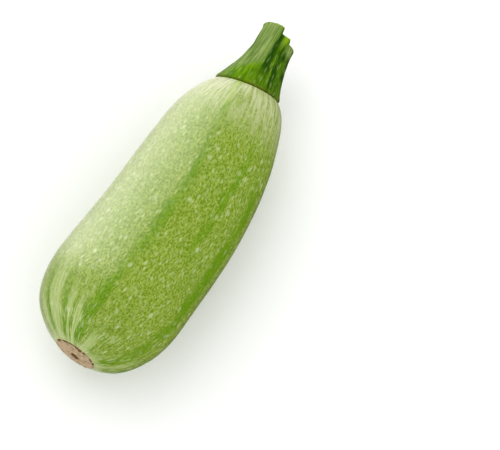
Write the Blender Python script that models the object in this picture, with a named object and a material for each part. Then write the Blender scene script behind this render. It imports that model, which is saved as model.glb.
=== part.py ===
"""A short pale green zucchini lying on its side: the fruit, its cut stem and its blossom scar.

Everything is laid out along a spine that starts at the blossom end and runs towards +X, and is then
tilted and lowered so that the underside lies on z = 0. Angles round the spine start at the top and grow
towards -Y.
"""

from math import atan, cos, exp, pi, sin

import bmesh
import bpy
from mathutils import Matrix, Vector

# Driving dimensions, in metres.
FRUIT_LENGTH = 0.147  # from the blossom scar's rim to the stem's seam, along X
STEM_LENGTH = 0.0300
RADIUS_AT_BLOSSOM = 0.0348  # of the tapering body, before its ends are rounded off
TAPER = 0.0358  # how much that radius shrinks for each metre towards the stem
BLOSSOM_CAP_LENGTH = 0.040
BLOSSOM_CAP_START = -0.001  # where the rounded end would close if the scar didn't cut it off
BLOSSOM_CAP_POWER = 2.23
SHOULDER_START = 0.075
SHOULDER_LENGTH = 0.0753
SHOULDER_POWER = 2.37
SHOULDER_ROOT = 3.67
BEND_DEPTH = 0.0042  # how far the spine bows out, towards -Y
BEND_LENGTH = 0.165  # from the blossom end to where the bow is back on the straight line
SCAR_OFFSET = 0.0012  # the blossom end also sits this far towards -Y
SCAR_OFFSET_LENGTH = 0.050
RISE = 0.0016  # how far both ends curl up above the middle
FLAT_DEPTH = 0.0006  # how much of the underside the resting flat takes away
GAP = 0.0003  # between neighbouring pieces
STEM_START = FRUIT_LENGTH + GAP

# Ribs of the fruit.
RIBS = 10
RIB_HEIGHT = 0.00035
RIB_FADE = 0.006  # ribs fade out over this length at both seats

# Blossom scar.
SCAR_RADIUS = 0.0104
SCAR_THICKNESS = 0.0012
SCAR_EDGE = 0.0002  # how far its rim lies behind the fruit's end
SCAR_DOME = 0.0008
SCAR_PIT_RADIUS = 0.0016
SCAR_PIT_DEPTH = 0.0006
SCAR_SLOPE = -0.03  # how its plane falls back towards the +Y side
SCAR_FADE = 0.016

# Stem.
STEM_BASE_RADIUS = 0.0160
STEM_WAIST_RADIUS = 0.0109
STEM_TIP_RADIUS = 0.0096
STEM_FLARE_LENGTH = 0.022
STEM_FLARE_POWER = 1.35
STEM_LEAN = 0.0008  # how far its tip leans towards +Y
STEM_GROOVES = (  # angle, half the width in radians, share of the full depth
    (0.23, 0.17, 1.0),
    (0.76, 0.16, 0.5),
    (2.00, 0.22, 0.9),
    (2.95, 0.22, 0.9),
    (-2.35, 0.22, 0.9),
    (-1.34, 0.18, 0.6),
)
STEM_GROOVE_DEPTH = 0.0026
STEM_GROOVE_START = 0.2  # share of that depth that the grooves have where the stem meets the fruit
SEAM_SLOPE = 0.125  # how the seam between fruit and stem falls back towards the stem's +Y side
SEAM_FADE = 0.024  # over this length the fruit's cross-sections turn to follow the seam
STEM_CUT_SLOPE = 0.14  # rise of the cut end towards the stem's +Y side
STEM_LONG_RIB = (-1.3, 0.36)  # angles between which the stem was cut longest
STEM_LONG_RIB_EXTRA = 0.0028
STEM_STEP_WIDTH = 0.22  # angle over which the cut steps down beside that rib
STEM_CUT_HOLLOW = 0.0012  # depth of the dried pith in the middle of the cut

# Mesh density.
FRUIT_SIDES = 80
FRUIT_RINGS = 46
STEM_SIDES = 96
STEM_RINGS = 18
SCAR_SIDES = 48

FRUIT_COLOUR = (0.31, 0.44, 0.10, 1.0)
STEM_COLOUR = (0.13, 0.25, 0.04, 1.0)
SCAR_COLOUR = (0.47, 0.35, 0.21, 1.0)


def clear_scene():
    for thing in list(bpy.data.objects):
        bpy.data.objects.remove(thing, do_unlink=True)


def bend(x):
    """How far the spine stands out towards -Y at x: one smooth wave, and the lean of the stem beyond it."""
    to_scar = max(0, 1 - x / SCAR_OFFSET_LENGTH)
    into_stem = max(0, x - FRUIT_LENGTH) / STEM_LENGTH
    wave = BEND_DEPTH * (1 - cos(2 * pi * x / BEND_LENGTH)) / 2
    return wave + SCAR_OFFSET * to_scar**2 - STEM_LEAN * into_stem**2


def bend_slope(x):
    to_scar = max(0, 1 - x / SCAR_OFFSET_LENGTH)
    wave = BEND_DEPTH * pi / BEND_LENGTH * sin(2 * pi * x / BEND_LENGTH)
    return wave - 2 * SCAR_OFFSET / SCAR_OFFSET_LENGTH * to_scar


def rise(x):
    """How far the spine curls up at x. Beyond the fruit it goes straight on into the stem."""
    share = 2 * min(x, FRUIT_LENGTH) / FRUIT_LENGTH - 1
    return RISE * share**4 + rise_slope(x) * max(0, x - FRUIT_LENGTH)


def rise_slope(x):
    share = 2 * min(x, FRUIT_LENGTH) / FRUIT_LENGTH - 1
    return 8 * RISE / FRUIT_LENGTH * share**3


def spine_point(x, radius, angle):
    """The point at this radius and angle on the cross-section that cuts the spine at x."""
    ahead = Vector((1, -bend_slope(x), rise_slope(x)))
    side = Vector((bend_slope(x), 1, 0)).normalized()
    up = ahead.cross(side).normalized()
    return Vector((x, -bend(x), rise(x))) + radius * (cos(angle) * up - sin(angle) * side)


def body_radius(x):
    """Radius of the fruit at x, without its ribs: a slow taper with both ends rounded off."""
    radius = RADIUS_AT_BLOSSOM - TAPER * x
    from_cap_end = 1 - (x - BLOSSOM_CAP_START) / BLOSSOM_CAP_LENGTH
    if from_cap_end > 0:
        radius *= (1 - from_cap_end**BLOSSOM_CAP_POWER) ** (1 / BLOSSOM_CAP_POWER)
    into_shoulder = (x - SHOULDER_START) / SHOULDER_LENGTH
    if into_shoulder > 0:
        radius *= (1 - into_shoulder**SHOULDER_POWER) ** (1 / SHOULDER_ROOT)
    return radius


def ease(share):
    share = min(1, max(0, share))
    return share * share * (3 - 2 * share)


def rib_height(x):
    """Ribs fade out at both seats, where the scar and the stem need a plain round edge."""
    return RIB_HEIGHT * ease(min(x, FRUIT_LENGTH - x) / RIB_FADE)


def ring(bm, x_of, radius_of, sides):
    """A closed loop of vertices whose place along and distance from the spine may depend on the angle."""
    angles = [2 * pi * i / sides for i in range(sides)]
    return [bm.verts.new(spine_point(x_of(a), radius_of(a), a)) for a in angles]


def join_rings(bm, first, second):
    count = len(first)
    for i in range(count):
        j = (i + 1) % count
        bm.faces.new((first[i], first[j], second[j], second[i]))


def close_ring(bm, loop, x):
    """A fan from the loop to the spine at x."""
    centre = bm.verts.new(spine_point(x, 0, 0))
    count = len(loop)
    for i in range(count):
        bm.faces.new((loop[i], loop[(i + 1) % count], centre))


def tube(rings, sides, start_x, end_x):
    """A closed body through rings, each a pair of functions of the angle: place on the spine, and radius."""
    bm = bmesh.new()
    loops = [ring(bm, x_of, radius_of, sides) for x_of, radius_of in rings]
    for first, second in zip(loops, loops[1:]):
        join_rings(bm, first, second)
    close_ring(bm, loops[0], start_x)
    close_ring(bm, loops[-1], end_x)
    bmesh.ops.recalc_face_normals(bm, faces=bm.faces)
    return bm


def skew(x):
    """Neither end is quite square: towards both, the cross-sections turn until they lie like the end."""
    at_seam = SEAM_SLOPE * ease(1 - (FRUIT_LENGTH - x) / SEAM_FADE)
    return at_seam + SCAR_SLOPE * ease(1 - x / SCAR_FADE)


def plain_ring(x, radius):
    return (lambda angle: x + skew(x) * radius * sin(angle), lambda angle: radius)


def ribbed_ring(x):
    height = rib_height(x)
    radius = body_radius(x)
    along = skew(x) * radius
    return (lambda angle: x + along * sin(angle), lambda angle: radius + height * cos(RIBS * angle))


def fruit_mesh():
    seat_radius = SCAR_RADIUS + GAP
    seat_floor = SCAR_THICKNESS + GAP
    rings = [plain_ring(seat_floor, seat_radius), plain_ring(0, seat_radius)]
    for i in range(1, FRUIT_RINGS + 1):
        x = FRUIT_LENGTH * (1 - cos(pi * i / FRUIT_RINGS)) / 2
        rings.append(ribbed_ring(x))
    return tube(rings, FRUIT_SIDES, seat_floor, FRUIT_LENGTH)


def scar_mesh():
    """A thin disc with a slightly domed front, which faces -X, and a pit where the flower's style stood."""
    rings = [plain_ring(SCAR_THICKNESS, SCAR_RADIUS), plain_ring(SCAR_EDGE, SCAR_RADIUS)]
    for share in (0.97, 0.9, 0.75, 0.55, 0.35):
        rings.append(plain_ring(-SCAR_DOME * (1 - share * share), share * SCAR_RADIUS))
    rings.append(plain_ring(-SCAR_DOME, SCAR_PIT_RADIUS))
    pit_floor = SCAR_PIT_DEPTH - SCAR_DOME
    rings.append(plain_ring(pit_floor, SCAR_PIT_RADIUS * 0.6))
    return tube(rings, SCAR_SIDES, SCAR_THICKNESS, pit_floor)


def stem_radius(share):
    """Radius of the stem, without its grooves, at this share of its length from the fruit."""
    along = share * STEM_LENGTH
    shaft = STEM_WAIST_RADIUS + (STEM_TIP_RADIUS - STEM_WAIST_RADIUS) * share
    flare = max(0, 1 - along / STEM_FLARE_LENGTH)
    return shaft + (STEM_BASE_RADIUS - STEM_WAIST_RADIUS) * flare**STEM_FLARE_POWER


def dip(angle, centre, width):
    """1 at the centre, falling off to both sides."""
    off = (angle - centre + pi) % (2 * pi) - pi
    return exp(-((off / width) ** 2))


def groove(angle, share):
    """Depth of the grooves between the stem's ribs. They are shallow where the stem flares."""
    depth = sum(part * dip(angle, centre, width) for centre, width, part in STEM_GROOVES)
    return STEM_GROOVE_DEPTH * min(1, STEM_GROOVE_START + 2 * share) * depth


def stem_ring(share, inward=0):
    """A ring at this share of the stem's length. On the cut end it is drawn in by a share of its radius."""
    middle = STEM_START + share * STEM_LENGTH - inward * STEM_CUT_HOLLOW
    slope = SEAM_SLOPE * (1 - share) - STEM_CUT_SLOPE * share
    first, last = STEM_LONG_RIB

    def radius_of(angle):
        return (stem_radius(share) - groove(angle, share)) * (1 - inward)

    def x_of(angle):
        turned = (angle + pi) % (2 * pi) - pi
        on_long_rib = ease((turned - first) / STEM_STEP_WIDTH) * ease((last - turned) / STEM_STEP_WIDTH)
        reach = STEM_LONG_RIB_EXTRA * share**4 * on_long_rib * (1 - inward)
        return middle + reach + slope * radius_of(angle) * sin(angle)

    return (x_of, radius_of)


def stem_mesh():
    rings = [stem_ring(i / STEM_RINGS) for i in range(STEM_RINGS + 1)]
    rings += [stem_ring(1, inward) for inward in (0.35, 0.7)]
    return tube(rings, STEM_SIDES, STEM_START, STEM_START + STEM_LENGTH - STEM_CUT_HOLLOW)


def principled(name, colour, roughness):
    material = bpy.data.materials.new(name)
    material.use_nodes = True
    shader = material.node_tree.nodes["Principled BSDF"]
    shader.inputs["Base Color"].default_value = colour
    shader.inputs["Roughness"].default_value = roughness
    shader.inputs["Metallic"].default_value = 0.0
    material.diffuse_color = colour
    return material


def add_piece(name, bm, material):
    mesh = bpy.data.meshes.new(name)
    bm.to_mesh(mesh)
    bm.free()
    mesh.shade_smooth()
    mesh.set_sharp_from_angle(angle=pi / 4)
    mesh.materials.append(material)
    piece = bpy.data.objects.new(name, mesh)
    bpy.context.collection.objects.link(piece)
    return piece


def lay_down(pieces):
    """Tilt the whole until its tapering underside is level, and sink it by the depth of the flat."""
    level = Matrix.Rotation(atan(TAPER), 4, "Y")
    for piece in pieces:
        piece.data.transform(level)
    lowest = min(vertex.co.z for piece in pieces for vertex in piece.data.vertices)
    for piece in pieces:
        piece.data.transform(Matrix.Translation((0, 0, -lowest - FLAT_DEPTH)))


def press_flat(piece):
    """Level what reaches below the surface, which makes the small flat that the fruit rests on."""
    for vertex in piece.data.vertices:
        vertex.co.z = max(vertex.co.z, 0)


def centre_on_origin(pieces):
    """Move the whole, so that the origin is under the middle of its bounding box."""
    points = [vertex.co for piece in pieces for vertex in piece.data.vertices]
    middle_x = (min(p.x for p in points) + max(p.x for p in points)) / 2
    middle_y = (min(p.y for p in points) + max(p.y for p in points)) / 2
    for piece in pieces:
        piece.data.transform(Matrix.Translation((-middle_x, -middle_y, 0)))


def main():
    clear_scene()
    fruit = add_piece("fruit", fruit_mesh(), principled("zucchini_skin", FRUIT_COLOUR, 0.4))
    stem = add_piece("stem", stem_mesh(), principled("zucchini_stem", STEM_COLOUR, 0.55))
    scar = add_piece("blossom_scar", scar_mesh(), principled("corky_scar", SCAR_COLOUR, 0.8))
    pieces = [fruit, stem, scar]
    lay_down(pieces)
    press_flat(fruit)
    centre_on_origin(pieces)


main()
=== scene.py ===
"""The looks of a short pale green striped zucchini that lies on its side.

The fruit, its stem and its blossom scar are modelled along a growing line that starts at the blossom end and
runs towards +X. Angles round that line start at the top and grow towards -Y. The finished pieces are then
laid down where the frame has them.
"""

from math import atan, atan2, cos, exp, pi, radians, sin

import bmesh
import bpy
from mathutils import Matrix, Vector

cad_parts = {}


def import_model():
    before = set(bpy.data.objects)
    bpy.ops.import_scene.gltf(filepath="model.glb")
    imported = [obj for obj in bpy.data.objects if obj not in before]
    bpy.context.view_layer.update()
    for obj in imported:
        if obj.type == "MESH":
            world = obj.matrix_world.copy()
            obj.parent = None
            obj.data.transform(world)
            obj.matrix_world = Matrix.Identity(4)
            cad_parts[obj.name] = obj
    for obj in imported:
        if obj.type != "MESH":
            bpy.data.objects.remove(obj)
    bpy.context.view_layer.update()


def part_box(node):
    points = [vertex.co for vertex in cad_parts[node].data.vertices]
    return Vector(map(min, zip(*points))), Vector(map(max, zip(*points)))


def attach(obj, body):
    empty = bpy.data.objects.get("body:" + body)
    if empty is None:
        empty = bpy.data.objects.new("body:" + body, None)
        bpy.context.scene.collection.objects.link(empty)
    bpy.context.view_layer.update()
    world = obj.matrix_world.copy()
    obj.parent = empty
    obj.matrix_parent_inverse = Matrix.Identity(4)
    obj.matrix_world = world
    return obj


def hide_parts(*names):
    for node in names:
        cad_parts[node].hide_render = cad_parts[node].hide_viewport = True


# The fruit, in metres.
FRUIT_LENGTH = 0.147
RADIUS_AT_BLOSSOM = 0.0348
TAPER = 0.0358
BLOSSOM_CAP_LENGTH = 0.040
BLOSSOM_CAP_START = -0.001
BLOSSOM_CAP_POWER = 2.23
SHOULDER_START = 0.075
SHOULDER_LENGTH = 0.0753
SHOULDER_POWER = 2.37
SHOULDER_ROOT = 3.67
BEND_DEPTH = 0.0042
BEND_LENGTH = 0.165
SCAR_OFFSET = 0.0012
SCAR_OFFSET_LENGTH = 0.050
RISE = 0.0016
RIBS = 10
RIB_HEIGHT = 0.0006
LUMP_HEIGHT = 0.0008
LUMP_SIZE = 0.03
SEAT_GAP = 0.0001
FRUIT_MEAN_RADIUS = 0.033
FRUIT_SIDES = 80
FRUIT_RINGS = 46

# The blossom scar.
SCAR_RADIUS = 0.0104
SCAR_DEPTH = 0.0014
SCAR_DOME = 0.0008
SCAR_TURN = radians(-5.5)
SCAR_FADE = 0.016
SCAR_RIM_HEIGHT = 0.0005
CORK_HEIGHT = 0.0008
CORK_SIZE = 0.0016
SCAR_MEAN_RADIUS = 0.010
SCAR_SIDES = 72

# The stem.
STEM_LENGTH = 0.0300
STEM_SUNK = 0.0005
STEM_BASE_RADIUS = 0.0160
STEM_WAIST_RADIUS = 0.0109
STEM_TIP_RADIUS = 0.0096
STEM_FLARE_LENGTH = 0.022
STEM_FLARE_POWER = 1.35
STEM_LEAN = 0.0008
SEAM_TURN = radians(7.1)
SEAM_FADE = 0.024
FLUTE_HEIGHT = 0.00022
FOOT_HEIGHT = 0.0012
FOOT_SIZE = 0.0035
KNOB_HEIGHT = 0.0007
KNOB_SIZE = 0.006
TORN_HEIGHT = 0.0014
TORN_SIZE = 0.0018
STEM_MEAN_RADIUS = 0.011
STEM_SIDES = 96
STEM_RINGS = 26

# The camera looks down on the zucchini at the photograph's angle.
CAMERA_AZIMUTH = radians(-57.9)
CAMERA_ELEVATION = radians(74.5)
CAMERA_DISTANCE = 1.4
PHOTO_WIDTH = 500
PHOTO_HEIGHT = 450
PIXELS_PER_METRE = 2193
AIM = Vector((0, 0, 0.033))
AIM_PIXEL = (183.5, 193.7)
SENSOR_WIDTH = 36

# The attribute that holds each point's place on the skin, the step over which a slope is measured, and the
# smallest turn between two rings.
SKIN = "skin"
SLOPE_STEP = 0.0005
LEAST_TURN = 1e-7


def smooth(value, low, high):
    """0 below low, 1 above high, and an eased rise between them."""
    share = min(1, max(0, (value - low) / (high - low)))
    return share * share * (3 - 2 * share)


def bend(x):
    """How far the growing line stands out towards -Y."""
    to_scar = max(0, 1 - x / SCAR_OFFSET_LENGTH)
    into_stem = max(0, x - FRUIT_LENGTH) / STEM_LENGTH
    wave = BEND_DEPTH * (1 - cos(2 * pi * x / BEND_LENGTH)) / 2
    return wave + SCAR_OFFSET * to_scar**2 - STEM_LEAN * into_stem**2


def rise(x):
    """How far the growing line curls up. It runs straight on into the stem."""
    share = 2 * min(x, FRUIT_LENGTH) / FRUIT_LENGTH - 1
    slope = 8 * RISE / FRUIT_LENGTH * share**3
    return RISE * share**4 + slope * max(0, x - FRUIT_LENGTH)


def line_point(x):
    return Vector((x, -bend(x), rise(x)))


def heading(x):
    """Which way the growing line points, as an angle about Z."""
    return -atan((bend(x + SLOPE_STEP) - bend(x - SLOPE_STEP)) / (2 * SLOPE_STEP))


def pitch(x):
    """How steeply the growing line climbs."""
    return atan((rise(x + SLOPE_STEP) - rise(x - SLOPE_STEP)) / (2 * SLOPE_STEP))


def body_radius(x):
    radius = RADIUS_AT_BLOSSOM - TAPER * x
    from_cap_end = 1 - (x - BLOSSOM_CAP_START) / BLOSSOM_CAP_LENGTH
    if from_cap_end > 0:
        radius *= (1 - from_cap_end**BLOSSOM_CAP_POWER) ** (1 / BLOSSOM_CAP_POWER)
    into_shoulder = (x - SHOULDER_START) / SHOULDER_LENGTH
    if into_shoulder > 0:
        radius *= (1 - into_shoulder**SHOULDER_POWER) ** (1 / SHOULDER_ROOT)
    return radius


def fruit_turn(x):
    """Neither end is quite square, so the rings turn towards both ends."""
    at_seam = SEAM_TURN * smooth(x, FRUIT_LENGTH - SEAM_FADE, FRUIT_LENGTH)
    return at_seam + SCAR_TURN * (1 - smooth(x, 0, SCAR_FADE))


def stem_turn(x):
    share = min(1, max(0, (x - FRUIT_LENGTH) / STEM_LENGTH))
    return SEAM_TURN * (1 - share)


def stem_radius(share):
    shaft = STEM_WAIST_RADIUS + (STEM_TIP_RADIUS - STEM_WAIST_RADIUS) * share
    flare = max(0, 1 - share * STEM_LENGTH / STEM_FLARE_LENGTH)
    return shaft + (STEM_BASE_RADIUS - STEM_WAIST_RADIUS) * flare**STEM_FLARE_POWER


def angle_off(angle, centre):
    """Shortest way round from centre to angle, in radians."""
    return (angle - centre + pi) % (2 * pi) - pi


def bump_at(angle, centre, width):
    return exp(-((angle_off(angle, centre) / width) ** 2))


def start_disc(name, x, radius, sides, turn):
    """A filled circle across the growing line, left in edit mode with its face selected."""
    bpy.ops.object.select_all(action="DESELECT")
    bpy.ops.mesh.primitive_circle_add(
        vertices=sides,
        radius=radius,
        fill_type="NGON",
        location=line_point(x),
        rotation=(0, pi / 2 - pitch(x), heading(x) + turn),
    )
    piece = bpy.context.object
    piece.name = name
    piece.data.name = name
    bpy.ops.object.transform_apply(location=True, rotation=True, scale=True)
    bpy.ops.object.mode_set(mode="EDIT")
    mesh = bmesh.from_edit_mesh(piece.data)
    skin = mesh.verts.layers.float_vector.new(SKIN)
    centre = line_point(x)
    for vertex in mesh.verts:
        off = vertex.co - centre
        angle = atan2(-off.y, off.z)
        vertex[skin] = Vector((0, cos(angle), sin(angle)))
    bmesh.update_edit_mesh(piece.data)
    return piece


def mark_ring(piece, travelled):
    """Notes on the selected ring how far along the skin it lies from where the piece began."""
    mesh = bmesh.from_edit_mesh(piece.data)
    skin = mesh.verts.layers.float_vector[SKIN]
    for vertex in mesh.verts:
        if vertex.select:
            vertex[skin].x = travelled
    bmesh.update_edit_mesh(piece.data)


def draw_out(piece, stations, turn_of):
    """Extrudes the selected face from station to station, each a place on the growing line and a radius."""
    travelled = 0
    for (x0, r0), (x1, r1) in zip(stations, stations[1:]):
        centre = line_point(x1)
        bpy.ops.mesh.extrude_region_move(TRANSFORM_OT_translate={"value": centre - line_point(x0)})
        growth = r1 / r0
        bpy.ops.transform.resize(value=(growth, growth, growth), center_override=centre)
        turn = heading(x1) + turn_of(x1) - heading(x0) - turn_of(x0)
        climb = pitch(x1) - pitch(x0)
        if abs(turn) > LEAST_TURN:
            bpy.ops.transform.rotate(value=-turn, orient_axis="Z", center_override=centre)
        if abs(climb) > LEAST_TURN:
            bpy.ops.transform.rotate(value=climb, orient_axis="Y", center_override=centre)
        travelled += Vector((x1 - x0, r1 - r0)).length
        mark_ring(piece, travelled)
    return travelled


def close_up(piece):
    bpy.ops.mesh.select_all(action="SELECT")
    bpy.ops.mesh.normals_make_consistent(inside=False)
    bpy.ops.mesh.select_all(action="DESELECT")
    bpy.ops.object.mode_set(mode="OBJECT")
    bpy.ops.object.shade_smooth()


def smooth_out(piece, levels):
    bpy.context.view_layer.objects.active = piece
    finer = piece.modifiers.new("finer", "SUBSURF")
    finer.levels = levels
    finer.render_levels = levels
    bpy.ops.object.modifier_apply(modifier=finer.name)


def weigh(piece, name, weight_of):
    """A vertex group whose weights follow a formula of the place along the skin and the angle."""
    group = piece.vertex_groups.new(name=name)
    places = piece.data.attributes[SKIN].data
    for vertex in piece.data.vertices:
        place = places[vertex.index].vector
        weight = weight_of(place.x, atan2(place.z, place.y))
        if weight > 0:
            group.add([vertex.index], min(1, weight), "REPLACE")
    return group.name


def push(piece, group, height, direction="NORMAL", texture=None):
    """Moves the weighted part of the surface, evenly or by a texture, and applies it."""
    bpy.context.view_layer.objects.active = piece
    lift = piece.modifiers.new("lift", "DISPLACE")
    lift.vertex_group = group
    lift.direction = direction
    lift.strength = height
    lift.mid_level = 0
    if texture:
        lift.texture = texture
        lift.texture_coords = "LOCAL"
        lift.mid_level = 0.5
    bpy.ops.object.modifier_apply(modifier=lift.name)


def lumps(name, size):
    texture = bpy.data.textures.new(name, "CLOUDS")
    texture.noise_scale = size
    texture.noise_depth = 2
    return texture


def model_fruit():
    """The fruit, and how far it is along its skin from the seat of the scar to the far end."""
    seat = SCAR_RADIUS + SEAT_GAP
    stations = [(SCAR_DEPTH, seat), (0, seat)]
    for i in range(1, FRUIT_RINGS + 1):
        x = FRUIT_LENGTH * (1 - cos(pi * i / FRUIT_RINGS)) / 2
        stations.append((x, body_radius(x)))
    fruit = start_disc("zucchini_fruit", *stations[0], FRUIT_SIDES, fruit_turn(0))
    whole_length = draw_out(fruit, stations, fruit_turn)
    close_up(fruit)
    smooth_out(fruit, 2)

    def rib(along, angle):
        near_blossom = smooth(along, 0.0016, 0.006) * (1 - 0.7 * smooth(along, 0.02, 0.06))
        near_stem = smooth(whole_length - along, 0.001, 0.012)
        return near_blossom * near_stem * (1 + cos(RIBS * angle)) / 2

    def body(along, angle):
        return smooth(along, 0.002, 0.02) * smooth(whole_length - along, 0.001, 0.02)

    push(fruit, weigh(fruit, "ribs", rib), RIB_HEIGHT)
    push(fruit, weigh(fruit, "body", body), LUMP_HEIGHT, texture=lumps("slow_lumps", LUMP_SIZE))
    return fruit, whole_length


# The rings of the scar's domed face and of the pit in its middle, as shares of its radius and its dome.
SCAR_FACE_RINGS = (0.95, 0.9, 0.82, 0.72, 0.62, 0.52, 0.42, 0.33, 0.25, 0.18)
SCAR_PIT_RINGS = ((0.13, 0.85), (0.07, 0.2))


def model_scar():
    """The corky disc. Its face is on the -X side, so it is drawn out towards -X."""
    edge = SCAR_RADIUS
    stations = [(SCAR_DEPTH - SEAT_GAP, edge), (SEAT_GAP, edge), (-SEAT_GAP, edge * 0.985)]
    for share in SCAR_FACE_RINGS:
        stations.append((-SCAR_DOME * (1 - share * share), share * edge))
    for share, height in SCAR_PIT_RINGS:
        stations.append((-SCAR_DOME * height, share * edge))
    scar = start_disc("zucchini_blossom_scar", *stations[0], SCAR_SIDES, fruit_turn(0))
    draw_out(scar, stations, lambda x: fruit_turn(0))
    close_up(scar)
    smooth_out(scar, 2)

    def face(along, angle):
        return smooth(along, 0.0014, 0.002)

    def rim(along, angle):
        crest = exp(-(((along - 0.0020) / 0.0005) ** 2))
        return crest * (0.35 + 0.65 * bump_at(RIBS * angle, 0, 1.1))

    push(scar, weigh(scar, "rim", rim), SCAR_RIM_HEIGHT)
    push(scar, weigh(scar, "face", face), CORK_HEIGHT, texture=lumps("cork", CORK_SIZE))
    return scar


STEM_GROOVES = (
    # angle at the base, angle at the tip, half the width, share of the full depth
    (0.24, 0.25, 0.14, 1.0),
    (0.85, 0.76, 0.12, 0.6),
    (2.05, 2.00, 0.22, 0.9),
    (2.95, 2.95, 0.22, 0.9),
    (-2.35, -2.35, 0.22, 0.9),
    (-1.75, -1.70, 0.18, 0.6),
    (-0.75, -0.55, 0.10, 0.12),
    (-0.35, -0.20, 0.08, 0.10),
)
GROOVE_DEPTH = 0.0028

# At the tip the ribs between the first two angles reach further, and those between the other two less far.
LONG_RIB = (-1.65, 0.25)
LONG_RIB_EXTRA = 0.0032
SHORT_RIBS = (0.76, 2.6)
SHORT_RIBS_CUT = 0.0022
LEFT_HOLLOW = 0.0020
LEFT_HOLLOW_ANGLE = -1.6
LEFT_HOLLOW_WIDTH = 0.75

# The rings of the cut end: how far past the tip, and which share of its radius.
STEM_CUT_RINGS = (
    (0.0001, 0.97),
    (0.0001, 0.90),
    (-0.0001, 0.80),
    (-0.0005, 0.65),
    (-0.0010, 0.50),
    (-0.0013, 0.35),
    (-0.0014, 0.20),
)


def model_stem():
    """The stem, and the length of its side along the skin, up to where the cut end starts."""
    end = FRUIT_LENGTH + STEM_LENGTH
    stations = [(FRUIT_LENGTH - STEM_SUNK, STEM_BASE_RADIUS)]
    for i in range(1, STEM_RINGS + 1):
        share = i / STEM_RINGS
        stations.append((FRUIT_LENGTH + share * STEM_LENGTH, stem_radius(share)))
    side = 0
    for (x0, r0), (x1, r1) in zip(stations, stations[1:]):
        side += Vector((x1 - x0, r1 - r0)).length
    for step, size in STEM_CUT_RINGS:
        stations.append((end + step, size * STEM_TIP_RADIUS))
    stem = start_disc("zucchini_stem", *stations[0], STEM_SIDES, SEAM_TURN)
    draw_out(stem, stations, stem_turn)
    close_up(stem)
    smooth_out(stem, 1)

    def off_cut(along):
        return 1 - smooth(along, side + 0.003, side + 0.008)

    def into_cut(along):
        return smooth(along, side + 0.001, side + 0.007)

    def groove(along, angle):
        share = min(1, along / side)
        total = 0
        for at_base, at_tip, width, depth in STEM_GROOVES:
            total += depth * bump_at(angle, at_base + (at_tip - at_base) * share, width)
        fade = min(1, 0.2 + 2 * share)
        return total * fade * off_cut(along)

    def left_hollow(along, angle):
        share = along / side
        strength = smooth(share, 0.02, 0.50) * (1 - 0.30 * smooth(share, 0.60, 0.95))
        return strength * bump_at(angle, LEFT_HOLLOW_ANGLE, LEFT_HOLLOW_WIDTH) * off_cut(along)

    def at_tip(along):
        return smooth(along, side - 0.012, side) ** 2

    def long_rib(along, angle):
        turned = angle_off(angle, 0)
        first, last = LONG_RIB
        on_rib = smooth(turned, first - 0.25, first) * (1 - smooth(turned, last - 0.07, last))
        reach = 0.80 + 0.20 * smooth(turned, first, last - 0.2)
        return on_rib * reach * (1 - 0.85 * into_cut(along)) * at_tip(along)

    def short_ribs(along, angle):
        turned = angle_off(angle, pi)
        first, last = SHORT_RIBS
        past_first = smooth(turned, first - pi, first - pi + 0.07)
        past_last = smooth(turned, last - pi - 0.5, last - pi)
        return past_first * (1 - past_last) * at_tip(along) * (1 - 0.6 * into_cut(along))

    def flutes(along, angle):
        wave = 0.5 + 0.5 * sin(44 * angle + 3 * sin(5 * angle))
        return (1 - smooth(along, side - 0.0005, side)) * wave

    def foot(along, angle):
        return 1 - smooth(along, 0.001, 0.005)

    def sides(along, angle):
        return smooth(along, 0.0005, 0.003) * (1 - smooth(along, side - 0.001, side))

    def cut_end(along, angle):
        return smooth(along, side, side + 0.0006)

    push(stem, weigh(stem, "grooves", groove), -GROOVE_DEPTH)
    push(stem, weigh(stem, "left_hollow", left_hollow), -LEFT_HOLLOW)
    push(stem, weigh(stem, "flutes", flutes), FLUTE_HEIGHT)
    push(stem, weigh(stem, "foot", foot), FOOT_HEIGHT, texture=lumps("uneven_foot", FOOT_SIZE))
    push(stem, weigh(stem, "sides", sides), KNOB_HEIGHT, texture=lumps("knobbly", KNOB_SIZE))
    push(stem, weigh(stem, "long_rib", long_rib), LONG_RIB_EXTRA, direction="X")
    push(stem, weigh(stem, "short_ribs", short_ribs), -SHORT_RIBS_CUT, direction="X")
    torn = lumps("torn", TORN_SIZE)
    push(stem, weigh(stem, "cut_end", cut_end), TORN_HEIGHT, direction="X", texture=torn)
    return stem, side


def put(tree, kind, feeds=None, **settings):
    """Adds a node with its settings, and fills its inputs from values or from other nodes' outputs."""
    node = tree.nodes.new("ShaderNode" + kind)
    for name, value in settings.items():
        setattr(node, name, value)
    for key, feed in (feeds or {}).items():
        if isinstance(feed, bpy.types.NodeSocket):
            tree.links.new(feed, node.inputs[key])
        else:
            node.inputs[key].default_value = feed
    return node


def maths(tree, operation, first, second=0.0, third=0.0):
    return put(tree, "Math", {0: first, 1: second, 2: third}, operation=operation).outputs[0]


def times(tree, first, *others):
    for other in others:
        first = maths(tree, "MULTIPLY", first, other)
    return first


def ease(tree, value, low, high, start=0.0, end=1.0):
    """A value that eases from start to end while the input goes from low to high."""
    feeds = {"Value": value, "From Min": low, "From Max": high, "To Min": start, "To Max": end}
    return put(tree, "MapRange", feeds, interpolation_type="SMOOTHSTEP").outputs[0]


def colours(tree, factor, first, second):
    """A mix of two colours. The numbers are the sockets of the node's factor and colours."""
    return put(tree, "Mix", {0: factor, 6: first, 7: second}, data_type="RGBA").outputs[2]


def stretched(tree, vector, scale):
    return put(tree, "Mapping", {"Vector": vector, "Scale": scale}).outputs[0]


def noise(tree, vector, scale, detail, roughness=0.5):
    feeds = {"Vector": vector, "Scale": scale, "Detail": detail, "Roughness": roughness}
    return put(tree, "TexNoise", feeds).outputs[0]


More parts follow.
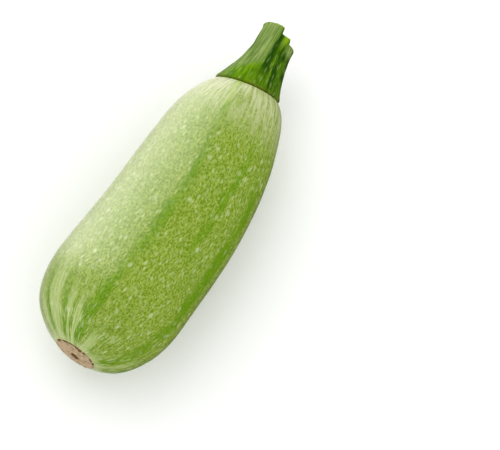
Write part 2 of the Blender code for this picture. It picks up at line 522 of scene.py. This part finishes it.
def streaky(tree, place, squeeze, scale, detail, roughness=0.5):
    """Noise that is 1 / squeeze times as long along the piece as round it."""
    return noise(tree, stretched(tree, place, (squeeze, 1, 1)), scale, detail, roughness)


def around_zero(tree, value):
    return maths(tree, "SUBTRACT", value, 0.5)


def new_material(name):
    material = bpy.data.materials.new(name)
    material.use_nodes = True
    tree = material.node_tree
    return material, tree, tree.nodes["Principled BSDF"]


def skin_place(tree, girth):
    """Place on the skin in metres: along it, and round it on a circle of the given radius."""
    raw = put(tree, "Attribute", attribute_name=SKIN).outputs["Vector"]
    return stretched(tree, raw, (1, girth, girth))


def along_and_angle(tree, place):
    parts = put(tree, "SeparateXYZ", {0: place})
    return parts.outputs[0], maths(tree, "ARCTAN2", parts.outputs[2], parts.outputs[1])


# A band fades between these shares of half its width.
BAND_CORE = 0.3
BAND_EDGE = 1.15


def band(tree, angle, centre, half_width, strength=1.0):
    """A lengthwise band with soft edges."""
    off = maths(tree, "WRAP", maths(tree, "SUBTRACT", angle, centre), pi, -pi)
    core, edge = half_width * BAND_CORE, half_width * BAND_EDGE
    return ease(tree, maths(tree, "ABSOLUTE", off), core, edge, strength, 0.0)


def spots(tree, place, size, stretch, low, high, keep):
    """Soft spots in cells of the given size. Only the share of the cells that keep names holds one."""
    squeezed = stretched(tree, place, (1 / stretch, 1, 1))
    cells = put(tree, "TexVoronoi", {"Vector": squeezed, "Scale": 1 / size, "Randomness": 1.0})
    dot = ease(tree, cells.outputs["Distance"], low, high, 1.0, 0.0)
    draw = put(tree, "SeparateColor", {0: cells.outputs["Color"]})
    chosen = maths(tree, "LESS_THAN", draw.outputs[0], keep)
    return times(tree, dot, chosen, ease(tree, draw.outputs[1], 0.0, 1.0, 0.5, 1.0))


# Spots: the size of their cells in metres, how many times as long as wide they are, the distances from the
# middle between which a spot fades, as shares of its cell, and the share of the cells that hold one.
SMALL_SPECKLES = (0.0013, 1.8, 0.12, 0.44, 0.80)
MEDIUM_SPECKLES = (0.0019, 2.4, 0.12, 0.36, 0.85)
LONG_DASHES = (0.0014, 6.0, 0.10, 0.38, 0.40)
LARGE_SPOTS = (0.0050, 1.5, 0.06, 0.27, 0.65)
STEM_FLECKS = (0.0010, 5.0, 0.14, 0.46, 0.65)

# Streaky noises: how far each is squeezed along the piece, its scale per metre, its detail and its roughness.
WANDER = (0.6, 45, 3)
FRAYED_EDGES = (0.15, 600, 2)
STRIPE_PATCHES = (0.4, 110, 3)
FINE_LINES = (0.07, 600, 3, 0.65)
SHORT_DASHES = (0.22, 1000, 1)
GRAIN = (0.55, 1500, 2, 0.6)
CLUMPS = (0.5, 260, 3)
SHOULDER_FRINGE = (0.16, 520, 3)
STEM_FIBRES = (0.07, 1100, 4, 0.65)
STEM_PATCHES = (0.30, 420, 3)

# Colours of the skin, as linear red, green, blue and alpha.
FIELD_WARM = (0.150, 0.252, 0.000, 1)
FIELD_COOL = (0.133, 0.245, 0.002, 1)
STRIPE_GREEN = (0.102, 0.242, 0.000, 1)
STRIPE_DEEP = (0.090, 0.245, 0.000, 1)
SPECKLE = (0.425, 0.540, 0.108, 1)
STRIPE_SPECKLE = (0.250, 0.420, 0.002, 1)
CREAM = (0.62, 0.68, 0.36, 1)
BLOSSOM_PALE = (0.56, 0.68, 0.31, 1)
SHOULDER_CREAM = (0.56, 0.60, 0.32, 1)
SHOULDER_STRIPE = (0.36, 0.50, 0.06, 1)

# Angles in degrees. Each stripe drifts off its angle towards the blossom end and towards the stem.
STRIPES = (
    # angle, drift at the blossom end, drift at the stem, half its width in radians, strength, start, end
    (2, -4, -6, 0.100, 0.88, -0.04, 0.20),
    (37, 7, 9, 0.080, 0.80, 0.066, 0.146),
    (69, -6, -8, 0.150, 1.00, -0.04, 0.130),
    (104, 3, -4, 0.12, 0.9, -0.04, 0.20),
    (141, -4, 3, 0.10, 0.8, 0.05, 0.15),
    (176, 4, -5, 0.13, 1.0, -0.04, 0.20),
    (-146, -3, 4, 0.10, 0.8, 0.04, 0.16),
    (-111, 4, 6, 0.12, 0.9, -0.04, 0.20),
    (-76, 3, 4, 0.09, 0.6, 0.03, 0.15),
)
SEAM_TWIST = radians(-7)
STRIPE_FADE = 0.02
DRIFT_LENGTH = 0.070

# Narrow deep green streaks that run out of the scar.
BLOSSOM_STREAKS = (
    # angle, half the width in radians, how far from the scar they reach, strength
    (-4, 0.085, 0.040, 1.0),
    (-18, 0.040, 0.034, 0.8),
    (-29, 0.060, 0.044, 0.95),
    (-54, 0.055, 0.050, 0.95),
    (-80, 0.060, 0.045, 0.9),
    (-108, 0.055, 0.040, 0.8),
    (28, 0.040, 0.020, 0.35),
    (62, 0.050, 0.030, 0.5),
    (98, 0.070, 0.045, 0.9),
    (133, 0.050, 0.040, 0.8),
    (168, 0.060, 0.045, 0.9),
    (-145, 0.060, 0.045, 0.9),
)

# Pale zones between them, in the same columns.
BLOSSOM_CREAM = (
    (-43, 0.17, 0.056, 1.0),
    (-23, 0.07, 0.044, 0.9),
    (-12, 0.095, 0.040, 0.95),
    (-67, 0.15, 0.045, 0.7),
    (17, 0.17, 0.022, 0.8),
    (45, 0.10, 0.014, 0.5),
    (80, 0.12, 0.028, 0.6),
    (116, 0.14, 0.040, 0.8),
    (150, 0.14, 0.040, 0.8),
    (-165, 0.14, 0.044, 0.8),
    (-126, 0.13, 0.040, 0.8),
    (-94, 0.10, 0.040, 0.7),
)


def strongest_of(tree, masks):
    total = masks[0]
    for mask in masks[1:]:
        total = maths(tree, "MAXIMUM", total, mask)
    return total


def stripe_mask(tree, along, from_stem, angle):
    near_blossom = ease(tree, along, 0.0, DRIFT_LENGTH, 1.0, 0.0)
    near_stem = ease(tree, from_stem, 0.0, DRIFT_LENGTH, 1.0, 0.0)
    twisted = maths(tree, "SUBTRACT", angle, ease(tree, from_stem, 0.0, 0.016, SEAM_TWIST, 0.0))
    fainter = ease(tree, from_stem, 0.030, 0.065, 0.65, 1.0)
    masks = []
    for degrees, at_blossom, at_stem, width, strength, start, end in STRIPES:
        drift = times(tree, near_blossom, radians(at_blossom))
        drift = maths(tree, "MULTIPLY_ADD", near_stem, radians(at_stem), drift)
        straight = maths(tree, "SUBTRACT", twisted, drift)
        shown = ease(tree, along, start, start + STRIPE_FADE)
        shown = times(tree, shown, ease(tree, along, end - STRIPE_FADE, end, fainter, 0.0))
        masks.append(times(tree, band(tree, straight, radians(degrees), width, strength), shown))
    return strongest_of(tree, masks)


def blossom_mask(tree, along, angle, streaks):
    """Bands that run out of the scar and fade over the last two thirds of their reach."""
    masks = []
    for degrees, width, reach, strength in streaks:
        fade = ease(tree, along, reach * 0.35, reach, 1.0, 0.0)
        masks.append(times(tree, band(tree, angle, radians(degrees), width, strength), fade))
    return strongest_of(tree, masks)


def skin_material(whole_length):
    material, tree, shader = new_material("zucchini_skin")
    place = skin_place(tree, FRUIT_MEAN_RADIUS)
    along, angle = along_and_angle(tree, place)
    from_stem = maths(tree, "SUBTRACT", whole_length, along)
    steady = ease(tree, along, 0.004, 0.040, 0.04, 0.06)
    wander = around_zero(tree, streaky(tree, place, *WANDER))
    wavy = maths(tree, "MULTIPLY_ADD", wander, steady, angle)
    frayed = around_zero(tree, streaky(tree, place, *FRAYED_EDGES))
    wavy = maths(tree, "MULTIPLY_ADD", frayed, 0.26, wavy)

    # The field and its stripes, which are patchy along their length.
    slow = ease(tree, noise(tree, place, 30, 2), 0.35, 0.65)
    field = colours(tree, slow, FIELD_WARM, FIELD_COOL)
    patchy = ease(tree, streaky(tree, place, *STRIPE_PATCHES), 0.34, 0.58, 0.5, 1.0)
    stripe = times(tree, stripe_mask(tree, along, from_stem, wavy), patchy)
    skin = colours(tree, stripe, field, STRIPE_GREEN)

    # Pale zones that run out of the scar, drawn in fine lengthwise lines, and deep streaks between them.
    fine_lines = ease(tree, streaky(tree, place, *FINE_LINES), 0.44, 0.56, 0.50, 1.0)
    pale_zone = blossom_mask(tree, along, wavy, BLOSSOM_CREAM)
    skin = colours(tree, times(tree, pale_zone, fine_lines, 0.95), skin, BLOSSOM_PALE)
    deep = blossom_mask(tree, along, wavy, BLOSSOM_STREAKS)
    skin = colours(tree, times(tree, deep, 0.9), skin, STRIPE_DEEP)
    dashes = ease(tree, streaky(tree, place, *SHORT_DASHES), 0.60, 0.66)
    dash_reach = ease(tree, along, 0.008, 0.032, 0.9, 0.0)
    skin = colours(tree, times(tree, dashes, dash_reach), skin, CREAM)
    rim = ease(tree, along, 0.0030, 0.0075, 0.8, 0.0)
    skin = colours(tree, times(tree, rim, fine_lines), skin, CREAM)

    # A close pale grain, speckles of two sizes on it, long dashes at the blossom end, and larger pale spots.
    grain = ease(tree, streaky(tree, place, *GRAIN), 0.38, 0.60)
    clumps = ease(tree, streaky(tree, place, *CLUMPS), 0.34, 0.60, 0.45, 1.0)
    small = times(tree, spots(tree, place, *SMALL_SPECKLES), clumps)
    medium = times(tree, spots(tree, place, *MEDIUM_SPECKLES), clumps)
    in_stripe = maths(tree, "MAXIMUM", stripe, deep)
    speckle = colours(tree, in_stripe, SPECKLE, STRIPE_SPECKLE)
    thinned = ease(tree, in_stripe, 0.0, 1.0, 1.0, 0.68)
    skin = colours(tree, times(tree, grain, thinned, 0.56), skin, speckle)
    skin = colours(tree, times(tree, small, thinned, 0.90), skin, speckle)
    bare = ease(tree, in_stripe, 0.0, 1.0, 0.62, 0.15)
    skin = colours(tree, times(tree, medium, bare), skin, CREAM)
    near_scar = ease(tree, along, 0.020, 0.065, 0.65, 0.0)
    long_dashes = times(tree, spots(tree, place, *LONG_DASHES), near_scar)
    skin = colours(tree, long_dashes, skin, CREAM)
    large = spots(tree, place, *LARGE_SPOTS)
    skin = colours(tree, times(tree, large, 0.62), skin, CREAM)
    speckles = strongest_of(tree, (times(tree, grain, 0.5), small, medium, long_dashes))

    # The pale shoulder round the stem, where the stripes are yellow green.
    shoulder = ease(tree, from_stem, 0.003, 0.035, 1.0, 0.0)
    ragged = ease(tree, streaky(tree, place, *SHOULDER_FRINGE), 0.38, 0.60, 0.25, 1.0)
    pale = colours(tree, ease(tree, stripe, 0.05, 0.50), SHOULDER_CREAM, SHOULDER_STRIPE)
    skin = colours(tree, times(tree, shoulder, ragged), skin, pale)

    # The speckles stand out a little and are less glossy.
    pores = maths(tree, "ADD", times(tree, speckles, 0.5), times(tree, large, 0.6))
    bump = put(tree, "Bump", {"Strength": 0.6, "Distance": 0.0003, "Height": pores})
    rough = ease(tree, pores, 0.0, 1.0, 0.15, 0.25)
    tree.links.new(skin, shader.inputs["Base Color"])
    tree.links.new(rough, shader.inputs["Roughness"])
    tree.links.new(bump.outputs[0], shader.inputs["Normal"])
    shader.inputs["Specular IOR Level"].default_value = 0.85
    return material


# Colours of the stem.
STEM_DARK = (0.012, 0.060, 0.000, 1)
STEM_GREEN = (0.062, 0.155, 0.000, 1)
STEM_BRIGHT = (0.155, 0.320, 0.001, 1)
STEM_WEDGE_DARK = (0.072, 0.175, 0.000, 1)
STEM_PALE = (0.150, 0.265, 0.008, 1)
# The front rib's pale grey green: partly its own colour, partly painted sheen.
STEM_PALE_AND_SHEEN = (0.140, 0.220, 0.050, 1)
STEM_FLECK = (0.30, 0.40, 0.12, 1)
STEM_OLIVE = (0.130, 0.150, 0.010, 1)
STEM_TIP = (0.26, 0.44, 0.010, 1)
STEM_CUT = (0.40, 0.47, 0.17, 1)
STEM_CUT_DARK = (0.22, 0.33, 0.05, 1)


def stem_material(side):
    material, tree, shader = new_material("zucchini_stem")
    place = skin_place(tree, STEM_MEAN_RADIUS)
    along, angle = along_and_angle(tree, place)
    fibres = streaky(tree, place, *STEM_FIBRES)
    patches = streaky(tree, place, *STEM_PATCHES)
    green = colours(tree, ease(tree, patches, 0.38, 0.60), STEM_DARK, STEM_GREEN)
    green = colours(tree, ease(tree, fibres, 0.46, 0.64, 0.0, 0.60), green, STEM_PALE)

    # A bright green wedge at the foot of the broad front rib, and the rib's pale face: partly its own pale
    # green, partly painted sheen and painted light where it faces the lamps.
    ragged_angle = maths(tree, "ADD", angle, times(tree, around_zero(tree, fibres), 1.5))
    on_front = times(tree, ease(tree, angle, -1.72, -1.60), ease(tree, ragged_angle, 0.02, 0.24, 1.0, 0.0))
    mottled = maths(tree, "ADD", times(tree, patches, 0.6), times(tree, fibres, 0.4))
    mottled = ease(tree, mottled, 0.42, 0.58)
    wedge = colours(tree, mottled, STEM_WEDGE_DARK, STEM_BRIGHT)
    green = colours(tree, on_front, green, wedge)
    edge = ease(tree, along, 0.001, 0.020, -0.85, 0.30)
    pale_and_sheen = times(tree, on_front, ease(tree, maths(tree, "SUBTRACT", edge, ragged_angle), -0.22, 0.26))
    pale_and_sheen_colour = colours(tree, ease(tree, fibres, 0.42, 0.62), STEM_PALE_AND_SHEEN, STEM_FLECK)
    green = colours(tree, times(tree, pale_and_sheen, 0.92), green, pale_and_sheen_colour)

    # Two darker lines on that face, its greener left side, painted shade in the deep groove and the pale
    # tips.
    broad_line = band(tree, ragged_angle, -1.02, 0.15, 0.85)
    fine_line = band(tree, ragged_angle, -0.62, 0.08, 0.5)
    green = colours(tree, strongest_of(tree, (broad_line, fine_line)), green, STEM_GREEN)
    left_side = ease(tree, angle, -1.40, -0.65, 0.95, 0.0)
    green = colours(tree, times(tree, left_side, ease(tree, fibres, 0.42, 0.54, 1.0, 0.1)), green, STEM_GREEN)
    # Painted shade: the deep groove beside the front rib gets the darkest green, standing in for the shadow
    # its steep wall casts.
    painted_groove_shade = times(tree, band(tree, angle, 0.27, 0.15), ease(tree, along, 0.006, 0.014))
    green = colours(tree, times(tree, painted_groove_shade, 0.95), green, STEM_DARK)
    bright_tip = times(tree, band(tree, angle, 0.56, 0.20), ease(tree, along, side - 0.006, side - 0.001))
    green = colours(tree, times(tree, bright_tip, 0.7), green, STEM_TIP)
    pale_tip = times(tree, band(tree, angle, 1.15, 0.40), ease(tree, along, side - 0.010, side - 0.004))
    green = colours(tree, times(tree, pale_tip, ease(tree, fibres, 0.40, 0.60, 0.3, 0.9)), green, STEM_FLECK)

    # Pale flecks, the olive seam at the foot, and the cut end with its green rim.
    flecks = spots(tree, place, *STEM_FLECKS)
    bare = times(tree, ease(tree, pale_and_sheen, 0.0, 1.0, 0.6, 0.2), ease(tree, along, 0.004, 0.022, 1.0, 0.5))
    green = colours(tree, times(tree, flecks, bare), green, STEM_FLECK)
    foot = times(tree, ease(tree, along, 0.0005, 0.0030, 0.8, 0.0), ease(tree, patches, 0.35, 0.6))
    green = colours(tree, foot, green, STEM_OLIVE)
    cut = ease(tree, along, side - 0.0004, side + 0.0002)
    pith = noise(tree, put(tree, "TexCoord").outputs["Object"], 900, 3, 0.6)
    flesh = colours(tree, ease(tree, pith, 0.38, 0.62), STEM_CUT_DARK, STEM_CUT)
    flesh = colours(tree, ease(tree, along, side + 0.0002, side + 0.0022, 0.8, 0.0), flesh, STEM_TIP)
    green = colours(tree, cut, green, flesh)
    height = maths(tree, "ADD", fibres, times(tree, flecks, 0.6))
    bump = put(tree, "Bump", {"Strength": 0.6, "Distance": 0.0004, "Height": height})
    tree.links.new(green, shader.inputs["Base Color"])
    tree.links.new(bump.outputs[0], shader.inputs["Normal"])
    shader.inputs["Roughness"].default_value = 0.55
    shader.inputs["Specular IOR Level"].default_value = 0.05
    return material


# Colours of the scar.
CORK = (0.40, 0.28, 0.15, 1)
CORK_LIGHT = (0.58, 0.44, 0.27, 1)
CORK_BROWN = (0.12, 0.055, 0.008, 1)

# Dark marks on it.
SCAR_MARKS = (
    # across (towards -Y) and up from the scar's middle in metres, half the width, half the height
    (-0.0085, 0.0055, 0.0009, 0.0007),
    (-0.0055, 0.0085, 0.0008, 0.0007),
    (0.0002, 0.0098, 0.0013, 0.0012),
    (0.0022, 0.0088, 0.0011, 0.0016),
    (0.0045, 0.0085, 0.0009, 0.0010),
    (0.0082, 0.0055, 0.0009, 0.0010),
    (0.0095, 0.0025, 0.0009, 0.0012),
    (0.0007, -0.0008, 0.0030, 0.0026),
    (-0.0075, -0.0065, 0.0009, 0.0009),
    (0.0060, -0.0080, 0.0010, 0.0009),
    (-0.0015, -0.0097, 0.0010, 0.0008),
)


def scar_material():
    material, tree, shader = new_material("zucchini_blossom_scar")
    low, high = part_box("blossom_scar")
    centre = (Vector(low) + Vector(high)) / 2
    place = put(tree, "TexCoord").outputs["Object"]
    grain = noise(tree, place, 1500, 4, 0.6)
    blotch = noise(tree, place, 330, 3)
    along, angle = along_and_angle(tree, skin_place(tree, SCAR_MEAN_RADIUS))
    cork = colours(tree, ease(tree, grain, 0.38, 0.60), CORK, CORK_LIGHT)
    cork = colours(tree, ease(tree, blotch, 0.50, 0.68, 0.0, 0.45), cork, CORK_BROWN)
    edge = ease(tree, along, 0.0019, 0.0027, 1.0, 0.0)
    broken = ease(tree, blotch, 0.40, 0.54, 0.15, 1.0)
    upper = maths(tree, "MAXIMUM", ease(tree, maths(tree, "COSINE", angle), -0.2, 0.25), 0.25)
    cork = colours(tree, times(tree, edge, broken, upper), cork, CORK_BROWN)
    ragged = times(tree, around_zero(tree, blotch), 1.6)
    masks = []
    for across, up, half_width, half_height in SCAR_MARKS:
        feeds = {
            "Vector": place,
            "Location": (0, (across - centre.y) / half_width, -(centre.z + up) / half_height),
            "Scale": (0, 1 / half_width, 1 / half_height),
        }
        off = put(tree, "Mapping", feeds).outputs[0]
        size = put(tree, "VectorMath", {0: off}, operation="LENGTH").outputs["Value"]
        masks.append(ease(tree, maths(tree, "ADD", size, ragged), 0.5, 1.1, 1.0, 0.0))
    cork = colours(tree, times(tree, strongest_of(tree, masks), 0.92), cork, CORK_BROWN)
    bump = put(tree, "Bump", {"Strength": 0.7, "Distance": 0.0004, "Height": grain})
    tree.links.new(cork, shader.inputs["Base Color"])
    tree.links.new(bump.outputs[0], shader.inputs["Normal"])
    shader.inputs["Roughness"].default_value = 0.85
    shader.inputs["Specular IOR Level"].default_value = 0.3
    return material


def finish_with(piece, material):
    piece.data.materials.clear()
    piece.data.materials.append(material)


def middle_of(piece):
    points = [vertex.co for vertex in piece.data.vertices]
    low = Vector([min(p[i] for p in points) for i in range(3)])
    high = Vector([max(p[i] for p in points) for i in range(3)])
    return (low + high) / 2


def lay_down(fruit, stem, scar):
    """Tilt the pieces until the tapering underside is level, and set them where the frame has the scar."""
    pieces = (fruit, stem, scar)
    level = Matrix.Rotation(atan(TAPER), 4, "Y")
    for piece in pieces:
        piece.data.transform(level)
    low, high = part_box("blossom_scar")
    shift = (Vector(low) + Vector(high)) / 2 - middle_of(scar)
    for piece in pieces:
        piece.data.transform(Matrix.Translation(shift))


def press_flat(piece):
    """The underside gives a little where it rests on the surface."""
    bpy.ops.object.select_all(action="DESELECT")
    bpy.context.view_layer.objects.active = piece
    piece.select_set(True)
    for vertex in piece.data.vertices:
        vertex.select = vertex.co.z < 0
    for edge in piece.data.edges:
        edge.select = False
    for face in piece.data.polygons:
        face.select = False
    bpy.ops.object.mode_set(mode="EDIT")
    bpy.ops.transform.resize(value=(1, 1, 0), center_override=(0, 0, 0))
    bpy.ops.object.mode_set(mode="OBJECT")


def camera_axes():
    ahead = Vector((-sin(CAMERA_AZIMUTH), cos(CAMERA_AZIMUTH), 0))
    right = Vector((ahead.y, -ahead.x, 0))
    back = Vector((0, 0, sin(CAMERA_ELEVATION))) - cos(CAMERA_ELEVATION) * ahead
    return right, back.cross(right), back


def add_camera():
    """It faces the zucchini, and is turned a little so that its middle lies where the photo has it."""
    right, up, back = camera_axes()
    camera = bpy.data.objects.new("camera", bpy.data.cameras.new("camera"))
    bpy.context.collection.objects.link(camera)
    camera.data.sensor_width = SENSOR_WIDTH
    focal_pixels = CAMERA_DISTANCE * PIXELS_PER_METRE
    camera.data.lens = SENSOR_WIDTH * focal_pixels / PHOTO_WIDTH
    place = AIM + CAMERA_DISTANCE * back
    to_right = (PHOTO_WIDTH / 2 - AIM_PIXEL[0]) / PIXELS_PER_METRE
    downwards = (PHOTO_HEIGHT / 2 - AIM_PIXEL[1]) / PIXELS_PER_METRE
    looked_at = AIM + to_right * right - downwards * up
    upright = Matrix((right, up, back)).transposed().to_quaternion()
    turned = back.rotation_difference((place - looked_at).normalized())
    camera.rotation_mode = "QUATERNION"
    camera.rotation_quaternion = turned @ upright
    camera.location = place
    bpy.context.scene.camera = camera


# The lights' power for a radiance and an area of 1.
LIGHT_POWER = 4
LIGHTS = (
    # name, direction in the camera's view (right, up and back), distance, size, radiance
    ("softbox", (-0.25, 0.60, 0.75), 1.1, (0.8, 0.8), 0.9),
    ("fill", (0.80, 0.50, 0.35), 1.3, (0.7, 0.7), 0.7),
)


def add_light(name, toward, distance, size, radiance):
    """A soft rectangle of light, placed by its direction in the camera's view: right, up and back."""
    right, up, back = camera_axes()
    way = (toward[0] * right + toward[1] * up + toward[2] * back).normalized()
    light = bpy.data.lights.new(name, "AREA")
    light.shape = "RECTANGLE"
    light.size, light.size_y = size
    light.energy = LIGHT_POWER * radiance * size[0] * size[1]
    lamp = bpy.data.objects.new(name, light)
    bpy.context.collection.objects.link(lamp)
    lamp.location = AIM + way * distance
    round_fruit = way.cross(Vector((1, 0, 0))).normalized()
    facing = Matrix((round_fruit, way.cross(round_fruit), way)).transposed()
    lamp.rotation_mode = "QUATERNION"
    lamp.rotation_quaternion = facing.to_quaternion()
    lamp.visible_glossy = False


WHITE = (1, 1, 1, 1)
FLOOR_COLOUR = (0.95, 0.95, 0.95, 1)
FLOOR_GLOW = 0.06
FLOOR_SIZE = 8


def add_floor():
    """A plain pale floor. It glows a little, so that it is nearly white away from the shadow."""
    bpy.ops.object.select_all(action="DESELECT")
    bpy.ops.mesh.primitive_plane_add(size=FLOOR_SIZE, location=(0, 0, 0))
    floor = bpy.context.object
    floor.name = "floor"
    material, _, shader = new_material("pale_floor")
    shader.inputs["Base Color"].default_value = FLOOR_COLOUR
    shader.inputs["Emission Color"].default_value = WHITE
    shader.inputs["Emission Strength"].default_value = FLOOR_GLOW
    shader.inputs["Roughness"].default_value = 0.7
    shader.inputs["Specular IOR Level"].default_value = 0.2
    finish_with(floor, material)
    floor.visible_glossy = False


# What gloss sees of the room: a slightly warm light, and how bright the dark side is.
GLOSS_TINT = (1.05, 1.0, 0.96, 1)
DARK_SIDE = 0.025


def set_world():
    """An even white room. Gloss sees a tall window on the left, the table below and dark on the right."""
    world = bpy.data.worlds.new("studio")
    world.use_nodes = True
    world.cycles.sampling_method = "NONE"
    tree = world.node_tree
    parts = put(tree, "SeparateXYZ", {0: put(tree, "TexCoord").outputs["Generated"]}).outputs
    along, leftward, upward = parts[0], parts[1], parts[2]

    # The window is dimmer low down and towards the blossom end, and brightest far to the left.
    low_down = ease(tree, along, 0.10, 0.35, 0.42, 0.58)
    window = ease(tree, upward, -0.9, 0.0, low_down, 1.0)
    window = times(tree, window, ease(tree, leftward, 0.55, 1.0, 2.1, 3.9), ease(tree, leftward, 0.17, 0.33))
    window = times(tree, window, ease(tree, along, -0.05, 0.32, 0.16, 1.0))
    table = ease(tree, upward, -0.97, -0.80, 1.0, 0.0)
    table = times(tree, table, ease(tree, leftward, -0.1, 0.12, 0.05, 0.60))
    in_gloss = maths(tree, "ADD", maths(tree, "ADD", window, table), DARK_SIDE)
    is_gloss = put(tree, "LightPath").outputs["Is Glossy Ray"]
    strength = put(tree, "Mix", {0: is_gloss, 2: 1.0, 3: in_gloss}).outputs[0]
    background = tree.nodes["Background"]
    tree.links.new(colours(tree, is_gloss, WHITE, GLOSS_TINT), background.inputs[0])
    tree.links.new(strength, background.inputs[1])
    bpy.context.scene.world = world
    bpy.context.scene.view_settings.view_transform = "Standard"


def set_stage():
    add_floor()
    set_world()
    for light in LIGHTS:
        add_light(*light)
    add_camera()


def main():
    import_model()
    fruit, whole_length = model_fruit()
    stem, stem_side = model_stem()
    scar = model_scar()
    finish_with(fruit, skin_material(whole_length))
    finish_with(stem, stem_material(stem_side))
    finish_with(scar, scar_material())
    lay_down(fruit, stem, scar)
    press_flat(fruit)
    pieces = (
        (fruit, "fruit", "skin"),
        (stem, "stem", "stem"),
        (scar, "blossom_scar", "scar"),
    )
    for piece, node, slot in pieces:
        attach(piece, "root")
        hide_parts(node)
    set_stage()


main()
